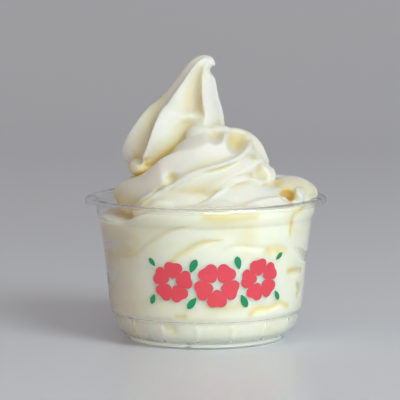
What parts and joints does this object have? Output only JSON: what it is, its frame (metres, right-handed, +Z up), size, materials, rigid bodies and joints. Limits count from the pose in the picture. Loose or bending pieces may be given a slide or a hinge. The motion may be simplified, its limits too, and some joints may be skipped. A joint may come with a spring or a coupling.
{
  "type": "frozen yogurt cup",
  "caption": "Clear plastic dessert cup with a rolled lip and a ribbed foot, filled and heaped with a ridged soft-serve swirl of white frozen yogurt that ends in a leaning peak.",
  "frame": {"origin": "centre of the cup's base, where it stands", "axes": "+Z up through the cup, +X to the right, -Y towards the viewer who sees the swirl's peak lean to the right"},
  "size_m": [0.095, 0.095, 0.1116],
  "materials": {
    "clear_plastic": "clear and glossy",
    "yogurt": "soft, moist and smooth"
  },
  "bodies": {
    "root": {"cup": "clear_plastic", "frozen_yogurt": "yogurt"}
  },
  "joints": []
}
